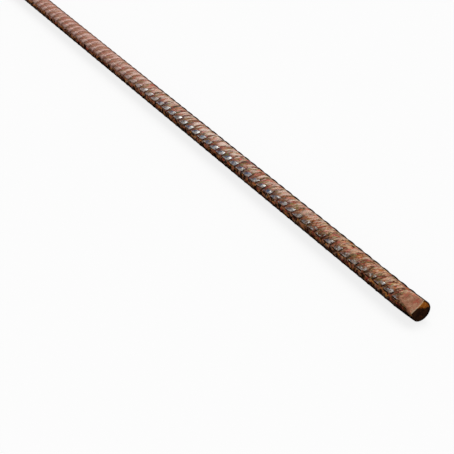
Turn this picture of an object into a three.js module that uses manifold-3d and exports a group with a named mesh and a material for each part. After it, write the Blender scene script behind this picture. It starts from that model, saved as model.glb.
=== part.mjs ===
// Ribbed reinforcing bar of the half-inch size, sheared to a two-foot length.
//
// Millimetres, +Z up. The bar lies along X and the origin is on its axis, half-way along it.
// The section is a round core with two long ribs, one down each side, rolled in one piece with it.
// The short slanted ribs between them are surface relief under a millimetre high, and aren't modelled.
// The bar lies on its core with one long rib raised towards -Y and the other low towards +Y.
//
// Both ends are sheared. Over a short length the blade presses a sloping flat on one side and
// the jaw beside it a shallower one. The end is pushed away from the jaw, and its long ribs are
// squashed into the core. The cut face's upper edge is dragged over into a soft round.

import * as THREE from 'three';
import { mergeVertices } from 'three/addons/utils/BufferGeometryUtils.js';
import Module from 'manifold-3d';

const wasm = await Module();
wasm.setup();

// ---- Driving dimensions, in millimetres and degrees ----

const barLength = 609.6; // two feet, from cut face to cut face
const coreDiameter = 12.2; // the round between the ribs

const longRibWidth = 1.8; // across the flat top of a long rib
const longRibHeight = 0.7; // above the core
const longRibFlank = 0.4; // how far each side of a long rib leans out down to its foot

const arcFacets = 13; // flats round the core between the long ribs: odd, so that one is in the middle
const rolledFacets = 3; // the flats that the bar is rolled by, from lying with its long ribs level

const pressLength = 13; // how far back from the cut face the shears marked the bar
const pressShift = 0.45; // how far the cut face is pushed sideways, away from the jaw

const bladeTurn = 23.5; // round the bar, from the raised long rib up to the middle of the blade's flat
const bladeDepth = 2.7; // of the blade's flat at the cut face, below the core's surface
const jawTurn = 85; // round the bar, from the middle of the blade's flat down to the jaw's
const jawDepth = 1.3; // of the jaw's flat at the cut face, below the core's surface

const roundTurn = 47; // round the bar, from the middle of the blade's flat up to the soft edge
const roundReach = 4.6; // of the soft edge, in over the cut face
const roundDepth = 1.2; // of the soft edge, back along the bar
const roundSteps = 6; // facets across it

const cutterClearance = 2; // how far a cutting shape stands past what it cuts

// ---- Values worked out from them ----

const coreRadius = coreDiameter / 2;
const crestRadius = coreRadius + longRibHeight;
const pushedRadius = coreRadius + pressShift; // of the cut face, where it is pushed out
const footAngle = Math.asin((longRibWidth / 2 + longRibFlank) / coreRadius);
const facetAngle = (Math.PI - 2 * footAngle) / arcFacets;
const restingRoll = -rolledFacets * facetAngle;

// The bar is made with its long ribs level, the raised one on the -Y side, and rolled when it is placed.
const alongBar = new THREE.Vector3(1, 0, 0);
const bladeSide = turned(Math.PI - THREE.MathUtils.degToRad(bladeTurn));
const jawSide = turned(Math.PI - THREE.MathUtils.degToRad(bladeTurn - jawTurn));
const roundSide = turned(Math.PI - THREE.MathUtils.degToRad(bladeTurn + roundTurn));
const acrossBlade = new THREE.Vector3().crossVectors(alongBar, bladeSide);

// The direction square to the bar at an angle from +Y towards +Z.
function turned(angle) {
  return new THREE.Vector3(0, Math.cos(angle), Math.sin(angle));
}

// ---- The bar before its ends are shaped ----

// One section as points in the plane square to the bar, anticlockwise as +X sees them.
// press is 0 on the bar as it was rolled, and 1 at the cut face.
function sectionRing(press) {
  const ribTop = crestRadius - longRibHeight * press;
  const ring = [];
  for (const side of [0, Math.PI]) {
    const outwards = turned(side);
    const upwards = turned(side + Math.PI / 2);
    const halfTop = longRibWidth / 2;
    for (const edge of [-1, 1]) {
      const crest = outwards.clone().multiplyScalar(ribTop).addScaledVector(upwards, edge * halfTop);
      const foot = turned(side + edge * footAngle).multiplyScalar(coreRadius);
      ring.push(...(edge < 0 ? [foot, crest] : [crest, foot]));
    }
    for (let facet = 1; facet < arcFacets; facet++) {
      ring.push(turned(side + footAngle + facet * facetAngle).multiplyScalar(coreRadius));
    }
  }
  for (const point of ring) point.addScaledVector(acrossBlade, -pressShift * press);
  return ring;
}

// A closed skin through sections along the bar, each end closed by a fan about the axis.
function loft(stations) {
  const count = stations[0].ring.length;
  const positions = [];
  const triangles = [];
  for (const { x, ring } of stations) {
    for (const point of ring) positions.push(x, point.y, point.z);
  }
  for (let station = 1; station < stations.length; station++) {
    const back = (station - 1) * count;
    const front = station * count;
    for (let i = 0; i < count; i++) {
      const next = (i + 1) % count;
      triangles.push(back + i, back + next, front + next);
      triangles.push(back + i, front + next, front + i);
    }
  }
  const backCentre = stations.length * count;
  const frontCentre = backCentre + 1;
  const lastRing = (stations.length - 1) * count;
  positions.push(stations[0].x, 0, 0, stations.at(-1).x, 0, 0);
  for (let i = 0; i < count; i++) {
    const next = (i + 1) % count;
    triangles.push(backCentre, next, i);
    triangles.push(frontCentre, lastRing + i, lastRing + next);
  }
  const geometry = new THREE.BufferGeometry();
  geometry.setAttribute('position', new THREE.Float32BufferAttribute(positions, 3));
  geometry.setIndex(triangles);
  return geometry;
}

// The whole bar with square ends, pushed aside and smoothed where the shears squeezed it.
function barBlank() {
  const face = barLength / 2;
  const marked = face - pressLength;
  const rolled = sectionRing(0);
  const squeezed = sectionRing(1);
  return loft([
    { x: -face, ring: squeezed },
    { x: -marked, ring: rolled },
    { x: marked, ring: rolled },
    { x: face, ring: squeezed },
  ]);
}

// ---- What the shears take off an end ----
// Each end's cutting shapes are prisms right across the bar. Their outlines are drawn in the plane of
// the bar's axis and the side that they come from: x towards the end, y outwards on that side.

function prismAcross(outline, end, side) {
  const reach = crestRadius + pressShift + cutterClearance;
  const options = { depth: 2 * reach, bevelEnabled: false, curveSegments: roundSteps };
  const prism = new THREE.ExtrudeGeometry(outline, options);
  prism.translate(0, 0, -reach);
  const towardsEnd = alongBar.clone().multiplyScalar(end);
  const across = new THREE.Vector3().crossVectors(towardsEnd, side);
  return prism.applyMatrix4(new THREE.Matrix4().makeBasis(towardsEnd, side, across));
}

// The sloping flat that the blade or the jaw leaves: from one height above the axis, where the marked
// length begins, down to another at the cut face.
function pressedFlat(end, side, startHeight, faceHeight) {
  const face = barLength / 2;
  const slope = (faceHeight - startHeight) / pressLength;
  const above = crestRadius + pressShift + cutterClearance;
  const outline = new THREE.Shape();
  outline.moveTo(face - pressLength, startHeight);
  outline.lineTo(face + cutterClearance, faceHeight + slope * cutterClearance);
  outline.lineTo(face + cutterClearance, above);
  outline.lineTo(face - pressLength, above);
  return prismAcross(outline, end, side);
}

// The edge of the cut face that is dragged over: a quarter of an ellipse, meeting the face flush.
function softEdge(end, side) {
  const face = barLength / 2;
  const above = pushedRadius + cutterClearance;
  const start = pushedRadius - roundReach;
  const outline = new THREE.Shape();
  outline.moveTo(face - roundDepth, above);
  outline.lineTo(face - roundDepth, pushedRadius);
  outline.absellipse(face - roundDepth, start, roundDepth, roundReach, Math.PI / 2, 0, true);
  outline.lineTo(face + cutterClearance, start);
  outline.lineTo(face + cutterClearance, above);
  return prismAcross(outline, end, side);
}

// end is 1 at the +X end and -1 at the other, which the same shears cut in the same way.
function endCuts(end) {
  return [
    pressedFlat(end, bladeSide, crestRadius, coreRadius - bladeDepth),
    pressedFlat(end, jawSide, coreRadius, coreRadius - jawDepth),
    softEdge(end, roundSide),
  ];
}

// ---- Solids ----

function toSolid(geometry) {
  const bare = geometry.clone();
  bare.deleteAttribute('normal');
  bare.deleteAttribute('uv');
  const merged = mergeVertices(bare);
  return new wasm.Manifold(
    new wasm.Mesh({
      numProp: 3,
      vertProperties: new Float32Array(merged.attributes.position.array),
      triVerts: new Uint32Array(merged.index.array),
    }),
  );
}

function toGeometry(solid) {
  const { numProp, vertProperties, triVerts } = solid.getMesh();
  const positions = [];
  for (let i = 0; i < vertProperties.length; i += numProp) {
    positions.push(vertProperties[i], vertProperties[i + 1], vertProperties[i + 2]);
  }
  const geometry = new THREE.BufferGeometry();
  geometry.setAttribute('position', new THREE.Float32BufferAttribute(positions, 3));
  geometry.setIndex([...triVerts]);
  geometry.computeVertexNormals();
  return geometry;
}

// ---- The bar ----

function ribbedBar() {
  const cuts = [...endCuts(1), ...endCuts(-1)];
  const solid = cuts.reduce((bar, cut) => bar.subtract(toSolid(cut)), toSolid(barBlank()));
  const rustySteel = new THREE.MeshStandardMaterial({ color: 0x9a6a52, roughness: 0.85, metalness: 0.3 });
  const mesh = new THREE.Mesh(toGeometry(solid), rustySteel);
  mesh.name = 'ribbed_bar';
  mesh.rotation.x = restingRoll;
  return mesh;
}

const reinforcingBar = new THREE.Group();
reinforcingBar.name = 'reinforcing_bar';
reinforcingBar.add(ribbedBar());

export default reinforcingBar;
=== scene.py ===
"""A rusty ribbed reinforcing bar on a pale floor: one rolled piece with sheared ends.

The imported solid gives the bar's length. The sizes of its core, its long ribs and its sheared ends repeat
the solid's, apart from the long ribs' width. This script makes the same bar with its slanted cross ribs,
its worn long ribs and its rusty surface, and sets the camera, the floor and the lights. Lengths are in
millimetres until a mesh is made, and Blender's are in metres.
"""

import math

import bpy
import numpy as np
from mathutils import Euler, Matrix, Vector, noise


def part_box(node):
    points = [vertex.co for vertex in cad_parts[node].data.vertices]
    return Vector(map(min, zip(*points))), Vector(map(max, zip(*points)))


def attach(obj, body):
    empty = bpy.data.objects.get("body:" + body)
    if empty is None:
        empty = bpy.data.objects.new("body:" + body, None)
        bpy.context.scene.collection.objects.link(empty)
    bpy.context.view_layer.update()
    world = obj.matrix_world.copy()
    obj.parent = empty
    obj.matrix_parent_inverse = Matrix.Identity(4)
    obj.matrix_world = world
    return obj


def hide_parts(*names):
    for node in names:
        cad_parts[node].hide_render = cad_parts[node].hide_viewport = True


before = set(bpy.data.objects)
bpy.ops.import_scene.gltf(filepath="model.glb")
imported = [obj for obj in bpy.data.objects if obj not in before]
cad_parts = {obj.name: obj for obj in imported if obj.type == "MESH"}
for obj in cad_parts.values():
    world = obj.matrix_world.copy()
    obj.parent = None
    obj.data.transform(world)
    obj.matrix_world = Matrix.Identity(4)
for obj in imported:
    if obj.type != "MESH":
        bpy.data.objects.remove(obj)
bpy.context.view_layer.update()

MM = 0.001

# ---- The bar's sizes, in millimetres and degrees ----

NODE_LOW, NODE_HIGH = (Vector(corner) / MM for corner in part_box("ribbed_bar"))
BAR_LENGTH = NODE_HIGH.x - NODE_LOW.x
FACE = BAR_LENGTH / 2
CORE_RADIUS = 6.1

LONG_RIB_WIDTH = 2.4  # worn wider than the solid's, which is 1.8
LONG_RIB_HEIGHT = 0.7
LONG_RIB_FLANK = 0.4
LONG_RIB_DIP = 0.18  # how much lower a long rib is between the cross ribs
RESTING_ROLL = -35.9  # how the bar is turned about its axis, from lying with its long ribs level

RIB_PITCH = 8.03
RIB_HEIGHT = 0.28
RIB_UNEVENNESS = 0.12  # how much a rib's height varies, as a share of it
UNEVEN_SIZE = 14  # of the stretches of higher and lower ribs
WORN_RIBS = 0.5  # how high the ribs below the raised long rib are, as a share of the others
RIB_TOP = 0.9  # along the bar, across the flat top
RIB_FLANK = 0.95  # along the bar, from the top's edge down to the core
RIB_TURN = 3  # pitches that a cross rib would run along the bar if it went once round it
FIRST_RIB = 11.6  # from the +X cut face to a cross rib, at the lower edge of the raised long rib
NOTCH_DEPTH = 0.4  # in a long rib, beside each cross rib on the side of the +X end
NOTCH_WIDTH = 1.5

PRESS_LENGTH = 13.0  # marked by the shears at each end
PRESS_SHIFT = 0.45  # how far a cut face has moved sideways, away from the shears
RIBS_LEFT = 1 / 3  # of the marked length, from its start to where the cross ribs end
BLADE_TURN = 23.5
BLADE_DEPTH = 2.7
JAW_TURN = 85.0  # from the blade's flat to the second, shallower one
JAW_DEPTH = 1.3
PRESSED_IN = 0.97  # how much of what stood over a flat was pressed in
ROUND_TURN = 47.0  # from the blade's flat to the soft, dragged edge of the cut face
ROUND_REACH = 4.6
ROUND_DEPTH = 1.2
ROUND_SHARE = 0.995  # how far the soft edge follows its quarter of an ellipse

PITTING = 0.045  # how far mill scale and rust pits lift or sink the surface
PIT_SIZE = 1.6
FRACTURE = 0.12  # unevenness of a cut face
FRACTURE_SIZE = 2.2

CREST_RADIUS = CORE_RADIUS + RIB_HEIGHT
RIB_LEAN = RIB_TURN * RIB_PITCH / math.tau  # how far a rib runs along the bar for each radian round it
RIB_STARTS = FACE - FIRST_RIB  # where the pattern of cross ribs is counted from, at the raised long rib


def side(angle_degrees):
    """The direction square to the bar at an angle from +Y towards +Z."""
    angle = math.radians(angle_degrees)
    return np.array([0.0, math.cos(angle), math.sin(angle)])


# These are the bar's own directions, from before it is rolled into its place.
BLADE_SIDE = side(180 - BLADE_TURN)
JAW_SIDE = side(180 - BLADE_TURN + JAW_TURN)
ROUND_SIDE = side(180 - BLADE_TURN - ROUND_TURN)
ACROSS_BLADE = np.cross([1.0, 0.0, 0.0], BLADE_SIDE)


# ---- The surface as heights over the core ----

NOISE_SHIFT = (17.3, -9.1, 5.7)  # features along each axis, from one seed's noise to the next's
NOISE_RATIO = 2.0  # how many times finer each octave is than the one before
NOISE_FALL = 1.0  # how fast the octaves get weaker: at 1, in step with their size


def smooth(value):
    """0 to 1 in an S, flat outside."""
    value = np.clip(value, 0, 1)
    return value * value * (3 - 2 * value)


def fractal(points, size, octaves, seed):
    """Noise of about -1 to 1 at points in millimetres, with features of about the size given."""
    shift = Vector([seed * step for step in NOISE_SHIFT])
    spots = [Vector(point) / size + shift for point in points]
    return np.array([noise.fractal(spot, NOISE_FALL, NOISE_RATIO, octaves) for spot in spots])


def rib_run(angle):
    """How far a cross rib has run along the bar, towards +X, at an angle round it.

    The ribs lean the same way on both sides, like a screw's thread. This counts from the lower
    edge of the raised long rib, and upwards from it a rib runs towards the +X end.
    """
    return RIB_LEAN * (math.pi + LONG_RIB_WIDTH / 2 / CORE_RADIUS - angle)


def from_long_rib(angle):
    """Distance round the core to the middle of the nearest long rib."""
    return np.abs(np.angle(np.exp(2j * angle))) / 2 * CORE_RADIUS


def off_crest(x, angle):
    """Distance along the bar from the nearest cross rib's crest, positive on the side of the +X end."""
    run = (x - RIB_STARTS - rib_run(angle)) / RIB_PITCH
    return (run - np.round(run)) * RIB_PITCH


def pressed(x):
    """0 along the bar, rising to 1 at a cut face."""
    return np.clip(1 - (FACE - np.abs(x)) / PRESS_LENGTH, 0, 1)


def as_rolled(press):
    """1 along the bar, to 0 where the shears have squashed the cross ribs away."""
    return 1 - smooth(press / RIBS_LEFT)


def notch(distance):
    """1 in the middle of the notch beside a cross rib, at distances from its crest, to 0 outside."""
    return smooth(1 - np.abs(distance - RIB_TOP / 2 - NOTCH_WIDTH / 2) / (NOTCH_WIDTH / 2))


def relief(x, angle):
    """Heights over the core of the cross ribs and of the long ribs."""
    distance = off_crest(x, angle)
    cross = smooth(1 - (np.abs(distance) - RIB_TOP / 2) / RIB_FLANK)
    along = smooth(1 - (from_long_rib(angle) - LONG_RIB_WIDTH / 2) / LONG_RIB_FLANK)
    low = LONG_RIB_DIP * smooth((np.abs(distance) - RIB_TOP) / (RIB_PITCH / 4))
    low += NOTCH_DEPTH * notch(distance)
    fade = as_rolled(pressed(x))
    cross = cross * np.where(angle > math.pi, WORN_RIBS, 1)
    return RIB_HEIGHT * cross * fade, (LONG_RIB_HEIGHT - low * fade) * along * (1 - pressed(x))


def place(x, angle):
    """Points of the bar's surface, in the bar's own position with its long ribs level."""
    cross, along = relief(x, angle)
    on_core = np.stack([x, CORE_RADIUS * np.cos(angle), CORE_RADIUS * np.sin(angle)], axis=-1)
    uneven = 1 + RIB_UNEVENNESS * fractal(on_core, UNEVEN_SIZE, octaves=2, seed=1)
    pits = PITTING * fractal(on_core, PIT_SIZE, octaves=3, seed=2)
    radius = CORE_RADIUS + np.maximum(cross * uneven, along) + pits
    return shear_marks(np.stack([x, radius * np.cos(angle), radius * np.sin(angle)], axis=-1))


def shear_marks(points):
    """Pushes the ends sideways and presses the shears' two flats into them."""
    press = pressed(points[:, 0])
    points = points - np.outer(PRESS_SHIFT * press, ACROSS_BLADE)
    crest = CORE_RADIUS + LONG_RIB_HEIGHT
    flats = ((BLADE_SIDE, crest, BLADE_DEPTH), (JAW_SIDE, CORE_RADIUS, JAW_DEPTH))
    for flat_side, start, depth in flats:
        flat = start - (start - CORE_RADIUS + depth) * press
        over = np.maximum(points @ flat_side - flat, 0) * (press > 0)
        points = points - np.outer(over * PRESSED_IN, flat_side)
    return points


def face_depth(points):
    """How far the soft edge lies back from the cut face at points of the bar."""
    start = CORE_RADIUS + PRESS_SHIFT - ROUND_REACH
    share = np.clip((points @ ROUND_SIDE - start) / ROUND_REACH, 0, ROUND_SHARE)
    return ROUND_DEPTH * (1 - np.sqrt(1 - share**2))


# ---- The mesh ----

ARC_COLUMNS = 32  # round the core between two long ribs
END_ROWS = 34  # along each sheared length
END_GATHER = 1.4  # above 1, the rows lie closer together towards the cut face
FACE_RINGS = 12
FACE_GATHER = 1.3  # above 1, the rings lie closer together towards the rim
ROUGH_RING = 3  # the ring, counted from the rim, where a cut face is fully uneven
ROW_GAP = 0.08  # a row nearer than this to the end of the ribbed length closes up on it


def column_angles():
    """Angles round the bar: closer together over the long ribs' edges."""
    half_top = LONG_RIB_WIDTH / 2 / CORE_RADIUS
    foot = half_top + LONG_RIB_FLANK / CORE_RADIUS
    edge = (half_top + foot) / 2
    over_rib = [-foot, -edge, *(half_top * share for share in (-1, -0.6, -0.2, 0.2, 0.6, 1)), edge]
    arc = np.linspace(foot, math.pi - foot, ARC_COLUMNS, endpoint=False)
    half = np.concatenate([over_rib, arc])
    return np.concatenate([half, half + math.pi])


def row_places():
    """Places along the pattern in shares of a pitch, closer together on the ribs' flanks."""
    top = RIB_TOP / 2 / RIB_PITCH
    foot = top + RIB_FLANK / RIB_PITCH
    flank = [top + (foot - top) * share for share in (0, 1 / 3, 2 / 3, 1)]
    between = [foot + (1 - 2 * foot) * share for share in (1 / 4, 1 / 2, 3 / 4)]
    return np.array([0.0, *flank, *between, *[1 - value for value in reversed(flank)]])


def quads(ring, new, end):
    """Faces between two rings of points; new lies nearer the end, which is 1 or -1."""
    following, new_following = np.roll(ring, -1), np.roll(new, -1)
    return [list(corners)[::end] for corners in zip(ring, following, new_following, new)]


def ribbed_length(angles, limit):
    """The length between -limit and limit, in rows that follow the cross ribs.

    Rows that reach past the limit close up on it, so each end is one ring with a point for each angle.
    A row comes round to the one that lies RIB_TURN pitches further on.
    Returns places along the bar, angles, faces and the two end rings.
    """
    reach = RIB_LEAN * math.pi
    first = math.floor(-(BAR_LENGTH + reach) / RIB_PITCH)
    last = math.ceil((FIRST_RIB + reach) / RIB_PITCH)
    rows = (np.arange(first, last + 1)[:, None] + row_places()[None, :]).ravel()
    x = rows[:, None] * RIB_PITCH + RIB_STARTS + rib_run(angles)[None, :]
    columns = len(angles)
    index = np.arange(x.size).reshape(x.shape)
    low_ring = x.size + np.arange(columns)
    high_ring = low_ring + columns
    index = np.where(x < ROW_GAP - limit, low_ring[None, :], index)
    index = np.where(x > limit - ROW_GAP, high_ring[None, :], index)
    xs = np.concatenate([x.ravel(), np.full(columns, -limit), np.full(columns, limit)])
    turns = np.concatenate([np.tile(angles, len(rows)), angles, angles])
    further = RIB_TURN * len(row_places())
    come_round = np.concatenate([np.full(further, low_ring[0]), index[:-further, 0]])
    index = np.column_stack([index, come_round])
    faces = []
    for row, new in zip(index, index[1:]):
        for corners in zip(row, row[1:], new[1:], new):
            kept = [corner for i, corner in enumerate(corners) if corner != corners[i - 1]]
            if len(kept) > 2 and min(kept) < x.size:
                faces.append(kept)
    return xs, turns, faces, low_ring, high_ring


def sheared_end(points, turns, faces, ring, angles, end):
    """Adds one end: rows up to the rim, then rings over the cut face to its middle."""
    limit = FACE - PRESS_LENGTH
    columns = len(angles)
    rim = place(np.full(columns, end * FACE), angles)
    rim_depth = face_depth(rim)
    for row in range(1, END_ROWS + 1):
        share = 1 - (1 - row / END_ROWS) ** END_GATHER
        x = limit + (PRESS_LENGTH - rim_depth) * share
        new = len(points) + np.arange(columns)
        points = np.concatenate([points, place(end * x, angles)])
        turns = np.concatenate([turns, angles])
        faces += quads(ring, new, end)
        ring = new
    for face_ring in range(1, FACE_RINGS):
        share = 1 - (face_ring / FACE_RINGS) ** FACE_GATHER
        disc = rim * [1, share, share]
        rough = FRACTURE * fractal(disc, FRACTURE_SIZE, octaves=3, seed=3) * smooth(face_ring / ROUGH_RING)
        disc[:, 0] = end * (FACE - face_depth(disc) + rough - FRACTURE / 2)
        new = len(points) + np.arange(columns)
        points = np.concatenate([points, disc])
        turns = np.concatenate([turns, angles])
        faces += quads(ring, new, end)
        ring = new
    points = np.concatenate([points, [[end * FACE, 0, 0]]])
    turns = np.concatenate([turns, [0.0]])
    centre = len(points) - 1
    faces += [[near, following, centre][::end] for near, following in zip(ring, np.roll(ring, -1))]
    return points, turns, faces


# ---- Marks on the mesh, which the rust follows ----

# Beside each cross rib: the mark's middle in millimetres from the crest towards the +X end, its strength
# there, and the distance over which it loses 1. It is cut off at 0 and 1.
RIB_MARKS = {
    "crest": (-0.9, 1.4, 1.7),
    "near_flank": (1.3, 1.1, 1.0),
    "far_flank": (-1.1, 1.3, 1.1),
    "shade": (3.4, 1.3, 1.7),
}

FLAT_STARTS = 1 / 4  # of the marked length, over which the blade's flat fades in
FLAT_SLACK = 0.6  # how far under the flat at the cut face its mark still counts
FLAT_FADE = 0.4
BURR_SLACK = 0.35  # how near to the height of the blade's flat the burr stays
BURR_PLACE = 0.35  # from the cut face back to the burr's middle
BURR_REACH = 0.55  # to either side of it
FACE_LENGTH = ROUND_DEPTH + 0.3  # from the cut face back to the last point that can be on it
FACE_SLACK = 0.2  # how far behind the face, or its soft edge, a point still counts as on it
SOFT_START = 1.0  # from the bar's axis out to where the soft edge's colour starts
SOFT_FADE = 3.0
RIM_WIDTH = 0.7
RIM_FADE = 0.5


def paint(mesh, points, turns):
    """Marks for the rust, beside the cross ribs, along the sheared lengths and on the cut faces.

    rib_place is a place that stays the same along a cross rib, for streaks that follow the ribs.
    """
    x = points[:, 0]
    distance = off_crest(x, turns)
    press = pressed(x)
    depth = FACE - np.abs(x)
    height = points @ BLADE_SIDE - CORE_RADIUS
    behind_face = depth - face_depth(points)
    radius = np.linalg.norm(points[:, 1:], axis=1)
    ribbed = as_rolled(press)
    marks = {"ribbed": ribbed}
    for name, (middle, strength, fade) in RIB_MARKS.items():
        marks[name] = smooth(strength - np.abs(distance - middle) / fade) * ribbed
    on_flat = smooth((height + (BLADE_DEPTH + FLAT_SLACK) * press) / FLAT_FADE)
    marks["flattened"] = smooth(press / FLAT_STARTS) * on_flat
    by_flat = np.abs(height + BLADE_DEPTH) < BURR_SLACK
    marks["burr"] = smooth(1 - np.abs(behind_face - BURR_PLACE) / BURR_REACH) * by_flat
    marks["cut"] = (depth < FACE_LENGTH) & (behind_face < FACE_SLACK)
    marks["soft_edge"] = smooth((points @ ROUND_SIDE - SOFT_START) / SOFT_FADE)
    marks["rim"] = smooth((radius - CORE_RADIUS + RIM_WIDTH) / RIM_FADE)
    for name, values in marks.items():
        data = mesh.attributes.new(name, "FLOAT", "POINT").data
        data.foreach_set("value", np.asarray(values, dtype=np.float32))
    on_core = [CORE_RADIUS * np.cos(turns), CORE_RADIUS * np.sin(turns)]
    rib_place = np.stack([x - rib_run(turns), *on_core], axis=-1) * MM
    data = mesh.attributes.new("rib_place", "FLOAT_VECTOR", "POINT").data
    data.foreach_set("vector", np.asarray(rib_place, dtype=np.float32).ravel())


def make_bar():
    angles = column_angles()
    xs, turns, faces, low_ring, high_ring = ribbed_length(angles, FACE - PRESS_LENGTH)
    points = place(xs, turns)
    for end, ring in ((1, high_ring), (-1, low_ring)):
        points, turns, faces = sheared_end(points, turns, faces, ring, angles, end)
    used = np.unique(np.concatenate([np.array(face) for face in faces]))
    renumber = np.zeros(len(points), dtype=int)
    renumber[used] = np.arange(len(used))
    points, turns = points[used], turns[used]
    roll = np.array(Matrix.Rotation(math.radians(RESTING_ROLL), 3, "X"))
    mesh = bpy.data.meshes.new("bar")
    corners = [renumber[np.array(face)].tolist() for face in faces]
    mesh.from_pydata((points @ roll.T * MM).tolist(), [], corners)
    mesh.polygons.foreach_set("use_smooth", [True] * len(mesh.polygons))
    paint(mesh, points, turns)
    bar = bpy.data.objects.new("ribbed_bar_relief", mesh)
    bpy.context.scene.collection.objects.link(bar)
    return bar


# ---- The rust's colours, as seen: red, green and blue from 0 to 255 ----

PALETTE = {
    # the sides that face up
    "pale film": (190, 132, 110),
    "dark film": (122, 76, 58),
    "orange rust": (170, 94, 42),
    "red rust": (192, 96, 80),
    "cream film": (214, 188, 158),
    "mauve scale": (103, 92, 99),
    "olive rust": (139, 122, 73),
    "pink rust": (206, 100, 98),
    "mossy rust": (136, 134, 78),
    # painted shade and light on the cross ribs' flanks, and painted shade in their troughs
    "shaded flank": (104, 76, 62),
    "lit flank": (222, 188, 172),
    "lit patch": (210, 186, 166),
    "trough_shade": (61, 38, 31),
    "speck": (52, 31, 24),
    "dark streak": (78, 48, 35),
    "pale streak": (226, 184, 144),
    # a painted sheen towards the top
    "painted top sheen": (232, 208, 194),
    "far rust": (172, 118, 100),
    "far crest": (216, 172, 164),
    # the side that faces down in front
    "brown rust": (194, 128, 90),
    "dark brown rust": (124, 78, 56),
    "bright orange rust": (236, 156, 76),
    "brick rust": (180, 72, 58),
    "black patch": (12, 8, 6),
    "cream patch": (205, 174, 148),
    "shade of a rib": (20, 11, 8),
    # painted shade, darker and then nearly black towards the floor
    "shaded rust": (44, 28, 22),
    "black shade strip": (9, 6, 5),
    # the back, the seam along the top and the underside
    "back rust": (142, 92, 68),
    "dark back rust": (100, 64, 49),
    "orange back rust": (160, 98, 60),
    "back speck": (56, 36, 29),
    "pale back patch": (170, 128, 104),
    "seam": (22, 14, 11),
    "dark seam": (13, 9, 7),
    "under rust": (100, 66, 51),
    "dark under rust": (62, 41, 33),
    "under speck": (38, 25, 20),
    # the raised long rib and its edges, with painted shade under it and in its slots, and painted light and
    # glints on its plates
    "dull strip": (62, 43, 36),
    "shade under the rib": (26, 15, 10),
    "slot": (26, 17, 12),
    "blue scale": (58, 86, 124),
    "grey scale": (116, 113, 114),
    "lit scale": (188, 188, 186),
    "dusty scale": (150, 134, 120),
    "rusted scale": (124, 80, 54),
    "pit": (58, 44, 38),
    "pale fleck": (206, 200, 192),
    "far scale": (230, 202, 190),
    # painted glints of near-white shiny steel
    "bright steel": (252, 252, 248),
    # the sheared ends
    "smeared rust": (188, 136, 110),
    "dark smeared rust": (160, 106, 80),
    "red smear": (179, 94, 78),
    "cream smear": (186, 165, 130),
    "smear speck": (96, 61, 47),
    # painted highlight along the cut face's edge
    "burr": (202, 179, 148),
    "cut face": (73, 45, 30),
    "dark cut face": (52, 33, 26),
    "dragged edge": (222, 136, 50),
    "dark dragged edge": (200, 103, 38),
    "rim": (14, 9, 7),
}

# ---- The rust ----

SLOT_PLACE = 0.31  # of a pitch, from where the cross ribs are counted to a slot at the long rib's middle
SLOT_LEAN = 0.085  # of a pitch, for each millimetre down round the bar
PATTERN_SHIFT = (0.713, 0.317, 0.911)  # metres along each axis, from one seed's pattern to the next's


def colour(red, green, blue):
    """A colour as seen, 0 to 255, as the linear values that a shader takes."""
    def linear(value):
        value /= 255
        return value / 12.92 if value <= 0.04045 else ((value + 0.055) / 1.055) ** 2.4
    return (linear(red), linear(green), linear(blue), 1.0)


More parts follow.
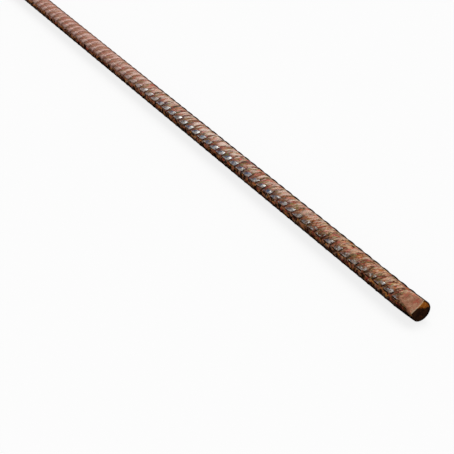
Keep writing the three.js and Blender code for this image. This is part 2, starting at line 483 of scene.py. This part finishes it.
class Nodes:
    """Short names for the shader nodes that the rust is built of.

    A value is a number, a node's socket or the name of a colour in the palette.
    """

    def __init__(self, tree):
        """place is in metres, and rib_place is one that stays the same along a cross rib."""
        self.tree = tree
        self.place = tree.nodes.new("ShaderNodeTexCoord").outputs["Object"]
        self.rib_place = self.add("ShaderNodeAttribute", attribute_name="rib_place").outputs["Vector"]

    def add(self, kind, **settings):
        node = self.tree.nodes.new(kind)
        for name, value in settings.items():
            setattr(node, name, value)
        return node

    def put(self, socket, value):
        if isinstance(value, bpy.types.NodeSocket):
            self.tree.links.new(value, socket)
        elif isinstance(value, str):
            socket.default_value = colour(*PALETTE[value])
        else:
            socket.default_value = value

    def mark(self, name):
        return self.add("ShaderNodeAttribute", attribute_name=name).outputs["Fac"]

    def math(self, operation, first, second=0.0, clamp=False):
        node = self.add("ShaderNodeMath", operation=operation, use_clamp=clamp)
        self.put(node.inputs[0], first)
        self.put(node.inputs[1], second)
        return node.outputs[0]

    def times(self, *values):
        product = values[0]
        for value in values[1:]:
            product = self.math("MULTIPLY", product, value)
        return product

    def inverse(self, value):
        return self.math("SUBTRACT", 1.0, value, clamp=True)

    def remap(self, curve, *values):
        node = self.add("ShaderNodeMapRange", interpolation_type=curve)
        for name, value in zip(("Value", "From Min", "From Max", "To Min", "To Max"), values):
            self.put(node.inputs[name], value)
        return node.outputs["Result"]

    def step(self, value, low, high, to_low=0.0, to_high=1.0):
        """One number up to low and another from high on, with an S between them."""
        return self.remap("SMOOTHSTEP", value, low, high, to_low, to_high)

    def line(self, value, low, high, to_low, to_high):
        """One number up to low and another from high on, with a straight line between them."""
        return self.remap("LINEAR", value, low, high, to_low, to_high)

    def noise(self, size, detail=5.0, seed=0.0, roughness=0.62, streak=1.0):
        """Noise about 0.5, with features of about the size given in millimetres.

        With a streak above 1 they are that many times longer, along the cross ribs.
        """
        mapping = self.add("ShaderNodeMapping")
        self.put(mapping.inputs["Vector"], self.place if streak == 1 else self.rib_place)
        mapping.inputs["Location"].default_value = [seed * step for step in PATTERN_SHIFT]
        mapping.inputs["Scale"].default_value = (1, 1 / streak, 1 / streak)
        node = self.add("ShaderNodeTexNoise")
        self.put(node.inputs["Vector"], mapping.outputs[0])
        node.inputs["Scale"].default_value = 1 / (size * MM)
        node.inputs["Detail"].default_value = detail
        node.inputs["Roughness"].default_value = roughness
        return node.outputs["Fac"]

    def mix(self, mask, under, over):
        node = self.add("ShaderNodeMix", data_type="RGBA")
        self.put(node.inputs["Factor"], mask)
        self.put(node.inputs[6], under)  # the mix node's first colour
        self.put(node.inputs[7], over)  # and its second
        return node.outputs[2]

    def between(self, low, high, **pattern):
        """A noise that runs from one number to another."""
        return self.step(self.noise(**pattern), 0.3, 0.7, low, high)

    def two_tone(self, first, second, spread=0.08, **pattern):
        """One colour, and another where a noise is high."""
        return self.mix(self.step(self.noise(**pattern), 0.5 - spread, 0.5 + spread), first, second)

    def patches(self, under, over, amount, low, high, *masks, **pattern):
        """Patches of a colour over another one, where a noise is high.

        They start where it is above low, and from high on they cover the amount given, times the masks.
        """
        strength = self.step(self.noise(**pattern), low, high, 0.0, amount)
        return self.mix(self.times(strength, *masks), under, over)

    def ragged(self, value, reach, **pattern):
        """A value made uneven by up to a reach to either side, so that what ends at it ends raggedly."""
        return self.math("ADD", value, self.between(-reach, reach, **pattern))


class Rust(Nodes):
    """The colours of the bar's parts, and masks of 0 to 1."""

    def __init__(self, tree):
        super().__init__(tree)
        split = self.add("ShaderNodeSeparateXYZ")
        self.put(split.inputs[0], self.place)
        self.along, self.back, self.height = split.outputs["X"], split.outputs["Y"], split.outputs["Z"]
        # near is 1 towards the sheared end in front, and far on the paler part past the middle
        self.near = self.level(self.along, 100, 270)
        self.far = self.times(self.level(self.along, 60, -80), self.level(self.along, -250, -200))
        self.ribbed = self.mark("ribbed")
        self.down, self.share, self.off_middle = self.by_long_rib()

    def by_long_rib(self):
        """Places by the raised long rib, where everything repeats from one leaning slot to the next.

        The first is in millimetres down round the bar from the rib's middle, the second is 0 to 1 along
        it from slot to slot, and the third is how far the second is from half-way between them.
        """
        turn = math.radians(180 + RESTING_ROLL)
        across, up = math.cos(turn), math.sin(turn)
        outwards = self.math("ADD", self.times(self.back, across), self.times(self.height, up))
        down = self.math("SUBTRACT", self.times(self.height, across), self.times(self.back, up))
        down = self.times(self.math("ARCTAN2", down, outwards), CREST_RADIUS)
        pitches = self.times(self.along, 1 / MM / RIB_PITCH)
        pitches = self.math("SUBTRACT", pitches, RIB_STARTS / RIB_PITCH + SLOT_PLACE)
        share = self.math("FRACT", self.math("ADD", pitches, self.times(down, SLOT_LEAN)))
        return down, share, self.math("ABSOLUTE", self.math("SUBTRACT", share, 0.5))

    def level(self, place, start, end, to_start=0.0, to_end=1.0):
        """A step between two places along an axis, given in millimetres."""
        return self.step(place, start * MM, end * MM, to_start, to_end)

    def nearer(self, middle, near):
        """A strength in the middle of the bar, and another towards the sheared end in front."""
        return self.step(self.near, 0, 1, middle, near)

    def farther(self, middle, far):
        """A strength in the middle of the bar, and another on the paler part past it."""
        return self.step(self.far, 0, 1, middle, far)

    def upper(self):
        """Pale films of rust over mill scale on the sides that face up, with painted light and shade on the
        ribs and a painted sheen at the top.
        """
        rust = self.two_tone("pale film", "dark film", size=3.2, detail=4, seed=1, streak=1.6)
        orange, mauve = self.nearer(0.15, 1.0), self.nearer(1.0, 0.5)
        rust = self.patches(rust, "orange rust", 0.95, 0.38, 0.50, orange, size=5.5, seed=2)
        rust = self.patches(rust, "red rust", 0.75, 0.53, 0.59, size=2.8, seed=3, streak=1.8)
        rust = self.patches(rust, "cream film", 0.75, 0.54, 0.60, size=2.4, seed=4, streak=1.8)
        rust = self.patches(rust, "mauve scale", 0.8, 0.54, 0.60, mauve, size=2.8, seed=5, streak=1.6)
        rust = self.patches(rust, "olive rust", 0.6, 0.55, 0.61, size=3.0, seed=23, streak=1.5)
        rust = self.patches(rust, "pink rust", 0.8, 0.54, 0.60, size=1.5, seed=35, streak=1.5)
        rust = self.patches(rust, "mossy rust", 0.8, 0.54, 0.60, size=1.5, seed=36, streak=1.5)
        rust = self.upper_flanks(rust)
        rust = self.upper_specks(rust)
        # Painted sheen: paler streaks towards the top, where the light from above and behind falls.
        top_sheen = self.times(self.level(self.height, 4.6, 6.0), self.nearer(1.0, 0.35))
        rust = self.patches(rust, "painted top sheen", 0.8, 0.49, 0.58, top_sheen, size=2.2, seed=30, streak=3)
        far_rust = self.mix(self.mark("crest"), "far rust", "far crest")
        return self.mix(self.times(self.far, 0.6), rust, far_rust)

    def upper_flanks(self, rust):
        """The cross ribs' flanks: painted shade on the side of the near end and painted light on the other,
        as the light falls from the far end.

        crown is 1 near the top of the bar, where this shows most.
        """
        near_flank, far_flank = self.mark("near_flank"), self.mark("far_flank")
        crown = self.times(self.step(self.down, -7.2, -6.4), self.step(self.down, -3.6, -4.6))
        turned_away = self.times(crown, near_flank, self.nearer(0.5, 0.3), self.farther(1.0, 0.5))
        rust = self.mix(turned_away, rust, "shaded flank")
        rust = self.mix(self.times(crown, far_flank, self.nearer(0.55, 0.3)), rust, "lit flank")
        lit = self.times(far_flank, self.nearer(1.0, 0.6))
        rust = self.patches(rust, "lit patch", 0.6, 0.44, 0.56, lit, size=2.6, seed=16)
        # Painted shade in the troughs on the near-end side of the crests.
        trough_shade = self.times(near_flank, self.farther(1.0, 0.55), self.nearer(0.85, 0.45))
        return self.patches(rust, "trough_shade", 0.85, 0.43, 0.56, trough_shade, size=2.6, seed=6)

    def upper_specks(self, rust):
        """Dark specks, and towards the near end dark and pale streaks too."""
        rust = self.patches(rust, "speck", 0.9, 0.58, 0.64, self.nearer(0.3, 1.0), size=1.6, seed=7)
        rust = self.patches(rust, "dark streak", 0.85, 0.52, 0.57, self.near, size=1.1, seed=39, streak=2.2)
        return self.patches(rust, "pale streak", 0.9, 0.55, 0.60, self.near, size=1.0, seed=40, streak=2.6)

    def lower(self):
        """Brown and orange rust on the side that faces down, with painted shade that takes it to nearly
        black towards the floor.
        """
        rust = self.two_tone("brown rust", "dark brown rust", size=3.0, detail=4, seed=8)
        rust = self.patches(rust, "bright orange rust", 0.9, 0.52, 0.58, size=3.0, seed=9)
        rust = self.patches(rust, "brick rust", 0.9, 0.52, 0.58, size=2.8, seed=10)
        black = self.nearer(1.0, 0.85)
        rust = self.patches(rust, "black patch", 1.0, 0.48, 0.56, black, size=2.8, seed=11)
        rust = self.patches(rust, "cream patch", 0.8, 0.60, 0.66, size=2.0, seed=27)
        shaded = self.times(self.mark("shade"), self.level(self.height, 1.4, 0.2), 0.8)
        rust = self.mix(shaded, rust, "shade of a rib")
        # Painted shade: darker, and then nearly black, towards the floor.
        rust = self.mix(self.level(self.height, 0.4, -1.4, 0.0, 0.6), rust, "shaded rust")
        return self.mix(self.level(self.height, -1.0, -2.6), rust, "black shade strip")

    def facing_up(self):
        """Where the upper side's rust takes over from the lower side's."""
        edge = self.ragged(self.height, 0.6 * MM, size=2.4, detail=3, seed=12)
        return self.level(self.math("ADD", edge, self.times(self.far, 0.4 * MM)), 1.4, 2.4)

    def rib_edges(self, rust):
        """A dull strip along the raised long rib, painted shade under its lower edge and painted shade in
        the slots across it.
        """
        by_rib = self.times(self.ribbed, self.step(self.down, -2.6, -1.6), self.step(self.down, 2.9, 2.5))
        dull = self.times(by_rib, self.step(self.down, 0.9, 0.5), self.farther(0.45, 0.05))
        rust = self.mix(dull, rust, "dull strip")
        between_slots = self.times(self.step(self.share, 0.12, 0.22), self.step(self.share, 0.78, 0.66))
        # Painted shade under the long rib's lower edge.
        under = self.times(by_rib, self.step(self.down, 1.5, 1.7), self.step(self.down, 2.5, 2.2))
        under = self.times(under, between_slots, self.nearer(0.65, 1.0), self.farther(1.0, 0.3))
        rust = self.mix(under, rust, "shade under the rib")
        # Painted shade in the slots beside the cross ribs, on their sides turned from the light.
        slot = self.times(by_rib, self.step(self.off_middle, 0.40, 0.45), self.step(self.down, 2.0, 1.5))
        slot = self.times(slot, self.step(self.down, -2.4, 0.4, 0.3, 1.0))
        slot = self.times(slot, self.math("ADD", self.nearer(0.7, 0.8), self.times(self.far, -0.5)))
        return self.mix(slot, rust, "slot")

    def behind(self):
        """Plainer brown rust on the back."""
        rust = self.two_tone("back rust", "dark back rust", size=2.6, detail=5, seed=41)
        rust = self.patches(rust, "orange back rust", 0.7, 0.54, 0.62, size=3.4, seed=42)
        rust = self.patches(rust, "back speck", 0.85, 0.54, 0.60, size=1.8, seed=43)
        return self.patches(rust, "pale back patch", 0.6, 0.57, 0.63, size=1.6, seed=45, streak=1.6)

    def top_dark_strip(self):
        """A dark strip along the top, where the edge seen from the front lies."""
        outer_edge = self.ragged(self.back, 0.7 * MM, size=2.6, detail=4, seed=44)
        top_dark_strip = self.times(self.level(self.back, 1.8, 2.8), self.level(outer_edge, 5.8, 4.4))
        return self.times(top_dark_strip, self.level(self.height, 1.0, 2.2), self.farther(0.98, 0.7))

    def below(self):
        """Darker brown rust on the underside, past the painted black shade strip that shows in front."""
        rust = self.two_tone("under rust", "dark under rust", size=2.4, detail=5, seed=46)
        return self.patches(rust, "under speck", 0.8, 0.56, 0.62, size=1.8, seed=47)

    def scale(self):
        """Grey and blue mill scale on the top of the long rib, rustier towards the near end, with painted
        light on its plates.
        """
        # Painted light: paler along the plates' lower edge and towards each plate's glint.
        along_foot = self.step(self.down, 0.5, 1.1, 0.0, 0.75)
        pale = self.math("MAXIMUM", along_foot, self.step(self.share, 0.54, 0.74))
        pale = self.math("ADD", pale, self.between(-0.6, 0.4, size=2.4, detail=3, seed=13), clamp=True)
        scale = self.two_tone("blue scale", "grey scale", size=5.0, detail=2, seed=33)
        scale = self.mix(pale, scale, "lit scale")
        scale = self.mix(self.times(self.near, 0.25), scale, "dusty scale")
        rusted = self.nearer(0.35, 0.7)
        scale = self.patches(scale, "rusted scale", 0.9, 0.48, 0.55, rusted, size=1.8, seed=14)
        scale = self.patches(scale, "pit", 0.9, 0.50, 0.55, self.near, size=1.0, seed=37)
        scale = self.patches(scale, "pale fleck", 0.9, 0.56, 0.60, self.near, size=0.9, seed=38)
        return self.mix(self.times(self.far, 0.85), scale, "far scale")

    def worn(self):
        """The plates between the slots of the long rib, where it is worn down to its scale."""
        down = self.ragged(self.down, 0.35, size=1.2, detail=4, seed=34)
        rib_top = self.math("SUBTRACT", down, self.line(self.share, 0.08, 0.60, 1.3, -1.7))
        rib_top = self.math("SUBTRACT", rib_top, self.times(self.near, 0.4))
        rib_foot = self.math("SUBTRACT", self.line(self.share, 0.60, 0.95, 1.55, 0.5), down)
        bare = self.math("SUBTRACT", self.noise(size=2.6, detail=4, seed=15), self.times(self.near, 0.08))
        worn = self.times(self.ribbed, self.step(rib_top, -0.2, 0.2), self.step(rib_foot, -0.15, 0.15))
        worn = self.times(worn, self.step(bare, 0.34, 0.44), self.farther(1.0, 0.35))
        return self.times(worn, self.inverse(self.step(self.off_middle, 0.41, 0.45)))

    def bright(self, worn):
        """Painted glints: near-white shiny steel on the plates' corners beside the slots, where the
        highlights fall.
        """
        bright = self.times(worn, self.step(self.share, 0.68, 0.74), self.step(self.down, -0.2, -0.6))
        bright = self.times(bright, self.step(self.noise(size=4.0, detail=2, seed=18), 0.48, 0.62))
        return self.times(bright, self.farther(1.0, 0.2), self.nearer(1.0, 0.3))

    def smeared(self):
        """Rust on the flat that the blade pressed."""
        rust = self.two_tone("smeared rust", "dark smeared rust", 0.1, size=3, detail=4, seed=19)
        rust = self.patches(rust, "red smear", 0.8, 0.54, 0.62, size=2.0, seed=24)
        rust = self.patches(rust, "cream smear", 0.7, 0.56, 0.64, size=1.6, seed=25)
        return self.patches(rust, "smear speck", 0.7, 0.60, 0.68, size=1.0, seed=29)

    def cut_face(self):
        """Dark brown, with orange rust on the edge that was dragged over and a black rim."""
        face = self.two_tone("cut face", "dark cut face", 0.1, size=2, detail=4, seed=20)
        dragged = self.two_tone("dragged edge", "dark dragged edge", 0.1, size=1.6, detail=4, seed=26)
        edge = self.ragged(self.mark("soft_edge"), 0.35, size=1.6, detail=4, seed=32)
        face = self.mix(self.step(edge, 0.25, 0.65), face, dragged)
        return self.mix(self.times(self.mark("rim"), 0.9), face, "rim")

    def layers(self):
        """The whole bar's colour, and the masks of its worn metal and of the bright metal of its painted
        glints.
        """
        rust = self.rib_edges(self.mix(self.facing_up(), self.lower(), self.upper()))
        rust = self.mix(self.level(self.back, 3.4, 4.6), rust, self.behind())
        top_dark_strip = self.top_dark_strip()
        rust = self.mix(top_dark_strip, rust, self.two_tone("seam", "dark seam", 0.1, size=2.0, detail=4, seed=28))
        hidden = self.level(self.ragged(self.height, 0.3 * MM, size=2.0, detail=4, seed=48), -4.4, -5.0)
        rust = self.mix(hidden, rust, self.below())
        worn = self.worn()
        bright = self.bright(worn)
        rust = self.mix(worn, rust, self.scale())
        # Painted glints: near-white shiny steel on the plates' corners.
        rust = self.mix(bright, rust, "bright steel")
        flattened = self.times(self.mark("flattened"), self.inverse(top_dark_strip), 0.9)
        rust = self.mix(flattened, rust, self.smeared())
        # Painted highlight: a pale line on the burr along the cut face's edge.
        rust = self.mix(self.times(self.mark("burr"), 0.9), rust, "burr")
        rust = self.mix(self.mark("cut"), rust, self.cut_face())
        return rust, worn, bright

    def speckled(self, rust):
        """Fine grain over all of it."""
        node = self.add("ShaderNodeVectorMath", operation="SCALE")
        self.put(node.inputs[0], rust)
        grain = self.between(0.75, 1.22, size=0.5, detail=4, seed=31, roughness=0.7)
        self.put(node.inputs["Scale"], grain)
        return node.outputs[0]

    def bump(self, heights, depth, strength, normal=None):
        """The surface's direction with a relief of heights, whose depth is in millimetres."""
        node = self.add("ShaderNodeBump")
        node.inputs["Distance"].default_value = depth * MM
        node.inputs["Strength"].default_value = strength
        self.put(node.inputs["Height"], heights)
        if normal is not None:
            self.put(node.inputs["Normal"], normal)
        return node.outputs[0]

    def fine_relief(self):
        """Roughness too fine for the mesh: grains, and larger ones along the cross ribs."""
        grains = self.bump(self.noise(size=0.7, detail=4, seed=21, roughness=0.65), 0.1, 0.6)
        return self.bump(self.noise(size=1.6, detail=3, seed=22, streak=2), 0.25, 0.7, grains)

    def roughness(self, worn, bright):
        """Dull rust, with the worn rib smoother and its bright corners, the painted glints, shiny."""
        rough = self.between(0.60, 0.85, size=1.5, detail=3, seed=17)
        rough = self.math("SUBTRACT", rough, self.times(worn, 0.35))
        return self.times(rough, self.step(bright, 0, 1, 1, 0.3))


def make_rust():
    material = bpy.data.materials.new("rusted_steel")
    material.use_nodes = True
    inputs = material.node_tree.nodes["Principled BSDF"].inputs
    rust = Rust(material.node_tree)
    layers, worn, bright = rust.layers()
    rust.put(inputs["Base Color"], rust.speckled(layers))
    rust.put(inputs["Metallic"], rust.math("MAXIMUM", rust.times(worn, 0.55), bright))
    inputs["Specular IOR Level"].default_value = 0.0
    rust.put(inputs["Roughness"], rust.roughness(worn, bright))
    rust.put(inputs["Normal"], rust.fine_relief())
    return material


bar = make_bar()
bar.data.materials.append(make_rust())
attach(bar, "root")
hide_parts("ribbed_bar")

# ---- The camera ----

PICTURE_SIDE = 454  # pixels
FOCAL_PIXELS = 1343
END_IN_PICTURE = (420.3, 312.0)  # pixels: the middle of the +X cut face
END_DISTANCE = 702.0  # from the camera to that point, in millimetres
VIEW_TURN = 59.78  # degrees
VIEW_DROP = 31.3  # degrees below level
SENSOR = 36.0  # millimetres
NEAREST_SEEN = 0.01  # metres


def make_camera():
    data = bpy.data.cameras.new("camera")
    data.sensor_width = SENSOR
    data.lens = SENSOR * FOCAL_PIXELS / PICTURE_SIDE
    data.clip_start = NEAREST_SEEN
    camera = bpy.data.objects.new("camera", data)
    camera.rotation_euler = Euler((math.radians(90 - VIEW_DROP), 0, math.radians(VIEW_TURN)))
    right = (END_IN_PICTURE[0] - PICTURE_SIDE / 2) / FOCAL_PIXELS
    down = (END_IN_PICTURE[1] - PICTURE_SIDE / 2) / FOCAL_PIXELS
    ray = camera.rotation_euler.to_matrix() @ Vector((right, -down, -1)).normalized()
    camera.location = (Vector((FACE, 0, 0)) - ray * END_DISTANCE) * MM
    bpy.context.scene.collection.objects.link(camera)
    bpy.context.scene.camera = camera


make_camera()

# ---- Floor and light ----

FLOOR_REACH = 4.0  # metres from the bar to each side of the floor
FLOOR_DROP = (CREST_RADIUS + 0.1) * MM  # from the bar's axis, just clear of the cross ribs
FLOOR_SHADE = 0.16  # the grey that light falls on
FLOOR_GLOW = 0.82  # what is added to it where the camera or a reflection sees it
WORLD_LIGHT = 0.35  # how strongly the white surroundings light the bar
WORLD_SEEN = 1.0  # and how bright they look

# Each sun's strength, its spread in degrees and the direction in which it shines.
SUNS = {
    "sun": (2.15, 40, (0.33, -0.42, -0.84)),  # from behind, above and the far end
    "fill": (0.4, 60, (-0.35, 0.85, -0.3)),  # softens the shade in front
}


def seen(nodes, links):
    """1 for what the camera or a reflection sees, and 0 for light that falls on something."""
    path = nodes.new("ShaderNodeLightPath")
    either = nodes.new("ShaderNodeMath")
    either.operation = "MAXIMUM"
    links.new(path.outputs["Is Camera Ray"], either.inputs[0])
    links.new(path.outputs["Is Glossy Ray"], either.inputs[1])
    return either.outputs[0]


def make_floor():
    reach, z = FLOOR_REACH, -FLOOR_DROP
    mesh = bpy.data.meshes.new("floor")
    corners = [(-reach, -reach, z), (reach, -reach, z), (reach, reach, z), (-reach, reach, z)]
    mesh.from_pydata(corners, [], [(0, 1, 2, 3)])
    floor = bpy.data.objects.new("floor", mesh)
    bpy.context.scene.collection.objects.link(floor)
    material = bpy.data.materials.new("floor")
    material.use_nodes = True
    nodes, links = material.node_tree.nodes, material.node_tree.links
    nodes.clear()
    out = nodes.new("ShaderNodeOutputMaterial")
    diffuse = nodes.new("ShaderNodeBsdfDiffuse")
    diffuse.inputs["Color"].default_value = (FLOOR_SHADE, FLOOR_SHADE, FLOOR_SHADE, 1)
    emission = nodes.new("ShaderNodeEmission")
    strength = nodes.new("ShaderNodeMath")
    strength.operation = "MULTIPLY"
    strength.inputs[1].default_value = FLOOR_GLOW
    links.new(seen(nodes, links), strength.inputs[0])
    links.new(strength.outputs[0], emission.inputs["Strength"])
    add = nodes.new("ShaderNodeAddShader")
    links.new(diffuse.outputs[0], add.inputs[0])
    links.new(emission.outputs[0], add.inputs[1])
    links.new(add.outputs[0], out.inputs["Surface"])
    floor.data.materials.append(material)


def make_world():
    world = bpy.data.worlds.new("world")
    world.use_nodes = True
    bpy.context.scene.world = world
    nodes, links = world.node_tree.nodes, world.node_tree.links
    background = nodes["Background"]
    background.inputs["Color"].default_value = (1, 1, 1, 1)
    strength = nodes.new("ShaderNodeMapRange")
    strength.inputs["To Min"].default_value = WORLD_LIGHT
    strength.inputs["To Max"].default_value = WORLD_SEEN
    links.new(seen(nodes, links), strength.inputs["Value"])
    links.new(strength.outputs[0], background.inputs["Strength"])


def make_suns():
    for name, (strength, spread, direction) in SUNS.items():
        data = bpy.data.lights.new(name, "SUN")
        data.energy = strength
        data.angle = math.radians(spread)
        sun = bpy.data.objects.new(name, data)
        sun.rotation_euler = Vector(direction).to_track_quat("-Z", "Y").to_euler()
        bpy.context.scene.collection.objects.link(sun)


make_floor()
make_world()
make_suns()
bpy.context.scene.view_settings.view_transform = "Standard"
